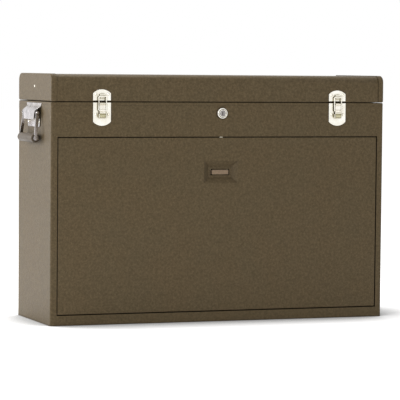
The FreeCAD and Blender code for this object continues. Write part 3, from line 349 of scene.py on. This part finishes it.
# Plated looks: dark and light patches, the range of roughness, and what else sets one apart.
# Lines gives how the polish is drawn out: it runs along the axis with the small factor.
PLATINGS = {
    "nickel": {"dark": srgb(238, 233, 219), "light": srgb(250, 248, 240),
               "roughness": (0.16, 0.30), "lines": (1.0, 1.0, 0.08)},
    "lever_nickel": {"dark": srgb(232, 226, 212), "light": srgb(247, 243, 234),
                     "roughness": (0.2, 0.36), "shaded_below": BARREL_SHADE_TOP},
    "lock_nickel": {"dark": srgb(244, 241, 235), "light": srgb(254, 253, 250),
                    "roughness": (0.12, 0.22), "reach": 0.0016},
    "hinge_steel": {"dark": srgb(128, 125, 117), "light": srgb(160, 156, 147),
                    "roughness": (0.4, 0.55), "lines": (0.06, 1.0, 1.0)},
    "plug_steel": {"dark": srgb(128, 124, 122), "light": srgb(156, 152, 150),
                   "roughness": (0.2, 0.34)},
    # Chrome's wide reach paints shade and dark reflections inside the handle's hood.
    "chrome": {"dark": srgb(176, 172, 173), "light": srgb(214, 209, 210),
               "roughness": (0.14, 0.26), "reach": 0.014},
}


def make_materials():
    """Every material, by the name that the record's slots and SPECIAL_LOOKS use."""
    materials = {name: bright_plate(name, **look) for name, look in PLATINGS.items()}
    materials["brown_paint"] = wrinkle_paint("brown_wrinkle", dark=srgb(75, 63, 41),
                                             middle=srgb(89, 76, 53), light=srgb(104, 89, 64),
                                             grain=0.0011)
    materials["tan_paint"] = wrinkle_paint("tan_paint", dark=srgb(128, 108, 88),
                                           middle=srgb(140, 120, 98), light=srgb(152, 132, 110),
                                           grain=0.0009)
    materials["zinc_steel"] = zinc_steel()
    materials["felt"] = wool_felt()
    materials["grip"] = roll_grip()
    return materials


# Nodes whose look isn't their slot's own, by the start of the name.
SPECIAL_LOOKS = {"handle_plate": "chrome", "handle_feet": "chrome", "handle_bail": "chrome",
                 "lock_plug": "plug_steel", "latch_lever": "lever_nickel",
                 "latch_pins": "lever_nickel", "hinge_": "hinge_steel"}

# Widths of softened edges in millimetres, by the start of the name.
SOFT_EDGES = {"front_panel": 0.9, "panel_grip_bar": 0.8, "pull": 0.6, "latch": 0.35,
              "strikes": 0.35, "handle_plate": 0.5, "handle_feet": 0.4, "handle_bail": 0.5,
              "handle_grip": 0.6, "lock": 0.3, "top_rim": 0.4, "drawer_": 0.4,
              "front_apron": 0.4, "lid_wrap": 0.3, "bottom_rail": 0.4}
SOFT_ANGLE = 35.0
SOFT_STEPS = 2
WELD_REACH = 0.000002


def dress_nodes(materials):
    """Gives every CAD node the material of its slot in the record, and softens its edges."""
    slots = {part["node"]: part["material_slot"] for part in frame["record"]["subparts"]}
    for name, node in NODES.items():
        node.data.materials.clear()
        node.data.materials.append(materials[slots[name]])
        for start, look in SPECIAL_LOOKS.items():
            if name.startswith(start):
                node.data.materials[0] = materials[look]
        for start, width in SOFT_EDGES.items():
            if name.startswith(start):
                soften(node, width * MM)
                break


def soften(piece, width):
    """Small rounded edges by modifiers; the mesh itself stays as it is."""
    weld = piece.modifiers.new("weld", "WELD")
    weld.merge_threshold = WELD_REACH
    bevel = piece.modifiers.new("edges", "BEVEL")
    bevel.width = width
    bevel.segments = SOFT_STEPS
    bevel.limit_method = "ANGLE"
    bevel.angle_limit = math.radians(SOFT_ANGLE)
    bevel.harden_normals = True


# ---------------------------------------------------------------- small trim

def add_piece(name, shape, material, body, smooth=True):
    """Turns a bmesh into a named piece that rides on a body."""
    mesh = bpy.data.meshes.new(name)
    bmesh.ops.recalc_face_normals(shape, faces=shape.faces)
    for face in shape.faces:
        face.smooth = smooth
    shape.to_mesh(mesh)
    shape.free()
    mesh.materials.append(material)
    piece = bpy.data.objects.new(name, mesh)
    bpy.context.scene.collection.objects.link(piece)
    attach(piece, body)
    return piece


def add_wall(shape, low, high):
    """Faces between two closed loops of vertices with the same count."""
    for index in range(len(low)):
        following = (index + 1) % len(low)
        shape.faces.new((low[index], low[following], high[following], high[index]))


def add_turned(shape, profile, centre, towards, steps, ring_shaped=False):
    """A turned solid: profile points are (radius, height) in millimetres, the height along
    towards. A ring-shaped one closes on its own first point and has no middle."""
    axis = Vector(towards).normalized()
    across = axis.orthogonal().normalized()
    beside = axis.cross(across)
    rings = []
    for radius, height in profile:
        ring = []
        for step in range(steps):
            turn = 2.0 * math.pi * step / steps
            spoke = across * math.cos(turn) + beside * math.sin(turn)
            place = Vector(centre) + axis * height * MM + spoke * radius * MM
            ring.append(shape.verts.new(place))
        rings.append(ring)
    if ring_shaped:
        rings.append(rings[0])
    for low, high in zip(rings, rings[1:]):
        add_wall(shape, low, high)
    if not ring_shaped:
        shape.faces.new(rings[0])
        shape.faces.new(rings[-1])


# A face is flat where its normal's z is above the first of these. It belongs to the tray's floor
# where its height is within the second of it.
FLAT_NORMAL = 0.99
SAME_LEVEL = 0.0001


def tray_floor(node):
    """The inside of a tray at its floor: its low and high x and y, and the floor's height."""
    mesh = NODES[node].data
    flats = [face for face in mesh.polygons if face.normal.z > FLAT_NORMAL]
    inside = max(flats, key=lambda face: face.area)
    corners = [mesh.vertices[index].co for face in flats for index in face.vertices
               if abs(face.center.z - inside.center.z) < SAME_LEVEL]
    return (min(c.x for c in corners), max(c.x for c in corners), min(c.y for c in corners),
            max(c.y for c in corners), inside.center.z)


DRAWER_ROWS = ("bottom", "deep", "middle", "lower_shallow", "upper_shallow", "second_left",
               "second_centre", "second_right", "top_left", "top_centre", "top_right")

LINER_THICK = 1.4
LINER_GAP = 1.2
LINER_LIFT = 0.05
LINER_WAVE = 0.35
LINER_STEP = 0.012

# How fast the liner's waves change along x and y, and from one drawer's height to the next.
WAVES_PER_METRE = 14.0
WAVE_SHIFT = 50.0


def add_liner(row, material):
    """A felt liner that lies a little unevenly on a drawer's floor."""
    x_low, x_high, y_low, y_high, floor = tray_floor("drawer_" + row)
    gap = LINER_GAP * MM
    x_low, x_high, y_low, y_high = x_low + gap, x_high - gap, y_low + gap, y_high - gap
    columns = max(int((x_high - x_low) / LINER_STEP), 2)
    lines = max(int((y_high - y_low) / LINER_STEP), 2)
    shape = bmesh.new()
    top = []
    for line_index in range(lines + 1):
        line = []
        for column in range(columns + 1):
            x = x_low + (x_high - x_low) * column / columns
            y = y_low + (y_high - y_low) * line_index / lines
            place = Vector((x * WAVES_PER_METRE, y * WAVES_PER_METRE, floor * WAVE_SHIFT))
            thick = LINER_THICK + LINER_WAVE * noise.noise(place)
            line.append(shape.verts.new((x, y, floor + thick * MM)))
        top.append(line)
    for low, high in zip(top, top[1:]):
        for column in range(columns):
            shape.faces.new((low[column], low[column + 1], high[column + 1], high[column]))
    right = [line[-1] for line in top[1:]]
    left = [line[0] for line in top[-2:0:-1]]
    edge = top[0] + right + top[-1][-2::-1] + left
    under = [shape.verts.new((vertex.co.x, vertex.co.y, floor + LINER_LIFT * MM))
             for vertex in edge]
    add_wall(shape, under, edge)
    shape.faces.new(under)
    add_piece("liner_" + row, shape, material, "drawer_" + row)


LOCK_CENTRE = (0.0, -104.8, 386.0)
LOCK_STEPS = 64
LOCK_PROFILE = [(5.72, -16.0), (5.72, 6.5), (5.9, 6.85), (6.2, 6.95), (6.6, 6.9), (6.75, 6.6),
                (6.8, 3.4), (8.1, 3.4), (8.15, 6.0), (8.3, 6.3), (8.8, 6.35), (9.3, 6.2),
                (9.65, 5.4), (9.78, 4.0), (9.8, 2.0), (9.8, 0.02), (6.95, 0.02),
                (6.95, -16.0)]


def add_lock(material):
    """The lock's body with its turned face: a bright lip, a groove and a bright inner lip."""
    shape = bmesh.new()
    centre = [length * MM for length in LOCK_CENTRE]
    add_turned(shape, LOCK_PROFILE, centre, (0.0, -1.0, 0.0), LOCK_STEPS, ring_shaped=True)
    body = add_piece("lock_bezel", shape, material, "case")
    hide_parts("lock_body")


SCREW_HEIGHTS = {"case": 396.4, "lid": 416.4}
SCREWS_IN_A_LEAF = 7
SCREW_STEPS = 24
SCREW_PROFILE = [(0.9, -0.1), (2.3, -0.1), (2.3, 0.15), (1.9, 0.55), (1.0, 0.8), (0.55, 0.82),
                 (0.5, 0.45), (0.3, 0.45)]

# Where a line towards a leaf's back starts, and how far out the face is where it meets none.
LINE_START = 0.3
LEAF_THICK = 0.001


def add_hinge_screws(material):
    """Low screw heads along both leaves of the lid's hinge."""
    for body, height in SCREW_HEIGHTS.items():
        leaf = "hinge_leaf_" + body
        low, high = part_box(leaf)
        z = height * MM
        shape = bmesh.new()
        for index in range(SCREWS_IN_A_LEAF):
            x = low.x + (high.x - low.x) * (index + 0.5) / SCREWS_IN_A_LEAF
            centre = (x, leaf_face(leaf, x, z), z)
            add_turned(shape, SCREW_PROFILE, centre, (0.0, 1.0, 0.0), SCREW_STEPS)
        add_piece("hinge_screws_" + body, shape, material, body)


def leaf_face(node, x, z):
    """The y of the back face of a node's metal, met by a line that comes from behind."""
    hit, place, _, _ = NODES[node].ray_cast(Vector((x, LINE_START, z)), Vector((0.0, -1.0, 0.0)))
    return place.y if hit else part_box(node)[0].y + LEAF_THICK


CLIP_HALF_WIDTH = 3.1
CLIP_SECTION = [(-103.6, 341.35), (-103.6, 342.4), (-103.3, 342.58), (-99.2, 342.58),
                (-98.9, 342.4), (-98.9, 341.35)]


def add_panel_clip(material):
    """The bright clip over the middle tab on the panel's top edge."""
    shape = bmesh.new()
    ends = [[shape.verts.new((x * MM, y * MM, z * MM)) for y, z in CLIP_SECTION]
            for x in (-CLIP_HALF_WIDTH, CLIP_HALF_WIDTH)]
    add_wall(shape, ends[0], ends[1])
    for end in ends:
        shape.faces.new(end)
    add_piece("panel_clip", shape, material, "panel", smooth=False)


def add_trim(materials):
    for row in DRAWER_ROWS:
        add_liner(row, materials["felt"])
    add_hinge_screws(materials["zinc_steel"])
    add_panel_clip(materials["nickel"])
    add_lock(materials["lock_nickel"])


# ---------------------------------------------------------------- light and floor

WORLD_LIGHT = 0.54

FLOOR_SIZE = 40.0
FLOOR_COLOUR = 0.88
SHADOW_COLOUR = 0.5
FLOOR_LIFT = 0.62

# How open the floor is near the object, within this reach, and where the two fades lie in it.
SHADOW_REACH = 0.15
LIFT_FADE = (0.45, 0.95)
COLOUR_FADE = (0.5, 0.92)

# Each lamp's name, place, width, height and radiance. All face this point.
LIT_POINT = (0.0, 0.0, 0.23)
LAMPS = [("lamp_left", (-1.9, 1.3, 0.75), 0.7, 0.7, 14.0),
         ("lamp_top", (-0.4, 0.5, 2.4), 1.6, 1.2, 5.0),
         ("lamp_front", (-2.3, -1.9, 1.3), 1.2, 1.2, 5.2)]


def join_seen(tree, lit, seen, output_kind):
    """Mixes two shaders: seen for camera, glossy and transmission rays, and lit for the rest."""
    path = tree.nodes.new("ShaderNodeLightPath")
    total = path.outputs["Is Camera Ray"]
    for name in ("Is Glossy Ray", "Is Transmission Ray"):
        either = tree.nodes.new("ShaderNodeMath")
        either.operation = "MAXIMUM"
        tree.links.new(total, either.inputs[0])
        tree.links.new(path.outputs[name], either.inputs[1])
        total = either.outputs[0]
    mixed = tree.nodes.new("ShaderNodeMixShader")
    output = tree.nodes.new(output_kind)
    for source, target in zip((total, lit, seen), mixed.inputs):
        tree.links.new(source, target)
    tree.links.new(mixed.outputs[0], output.inputs["Surface"])


def white_surround():
    """A white world: plain light on the object, and pure white to the camera and to gloss."""
    world = bpy.data.worlds.new("surround")
    bpy.context.scene.world = world
    world.use_nodes = True
    tree = world.node_tree
    tree.nodes.clear()
    skies = []
    for strength in (WORLD_LIGHT, 1.0):
        sky = tree.nodes.new("ShaderNodeBackground")
        sky.inputs["Color"].default_value = WHITE
        sky.inputs["Strength"].default_value = strength
        skies.append(sky.outputs[0])
    join_seen(tree, skies[0], skies[1], "ShaderNodeOutputWorld")


def floor_material():
    """Plain and pale for the light. To the camera its colour and a little glow also fade near
    the object, a painted contact shadow on top of the lit one, so that it reads as white and
    keeps the shadow."""
    material = bpy.data.materials.new("floor")
    material.use_nodes = True
    tree = material.node_tree
    tree.nodes.clear()
    lit = tree.nodes.new("ShaderNodeBsdfDiffuse")
    lit.inputs["Color"].default_value = (FLOOR_COLOUR, FLOOR_COLOUR, FLOOR_COLOUR, 1.0)
    near = tree.nodes.new("ShaderNodeAmbientOcclusion")
    near.inputs["Distance"].default_value = SHADOW_REACH
    seen = tree.nodes.new("ShaderNodeBsdfDiffuse")
    tone = map_range(tree, near.outputs["AO"], COLOUR_FADE, (SHADOW_COLOUR, FLOOR_COLOUR))
    tree.links.new(tone, seen.inputs["Color"])
    lift = tree.nodes.new("ShaderNodeEmission")
    glow = map_range(tree, near.outputs["AO"], LIFT_FADE, (0.0, FLOOR_LIFT))
    tree.links.new(glow, lift.inputs["Strength"])
    lifted = tree.nodes.new("ShaderNodeAddShader")
    tree.links.new(seen.outputs[0], lifted.inputs[0])
    tree.links.new(lift.outputs[0], lifted.inputs[1])
    join_seen(tree, lit.outputs[0], lifted.outputs[0], "ShaderNodeOutputMaterial")
    return material


def make_floor():
    """A wide flat floor under the object. It is stage, so it belongs to no body."""
    mesh = bpy.data.meshes.new("floor")
    half = FLOOR_SIZE / 2.0
    corners = [(-half, -half, 0.0), (half, -half, 0.0), (half, half, 0.0), (-half, half, 0.0)]
    mesh.from_pydata(corners, [], [(0, 1, 2, 3)])
    mesh.materials.append(floor_material())
    floor = bpy.data.objects.new("floor", mesh)
    bpy.context.scene.collection.objects.link(floor)
    floor.location.z = CAD_BOX[0].z


def softbox(name, place, width, height, radiance):
    """A rectangular lamp of that radiance, which the camera doesn't see."""
    data = bpy.data.lights.new(name, "AREA")
    data.shape = "RECTANGLE"
    data.size = width
    data.size_y = height
    data.energy = radiance * math.pi * width * height
    lamp = bpy.data.objects.new(name, data)
    lamp.location = place
    facing = Vector(LIT_POINT) - Vector(place)
    lamp.rotation_euler = facing.to_track_quat("-Z", "Y").to_euler()
    lamp.visible_camera = False
    bpy.context.scene.collection.objects.link(lamp)


# ---------------------------------------------------------------- the whole scene

bpy.context.scene.view_settings.view_transform = "Standard"
make_camera()
white_surround()
make_floor()
for lamp in LAMPS:
    softbox(*lamp)
materials = make_materials()
dress_nodes(materials)
add_trim(materials)
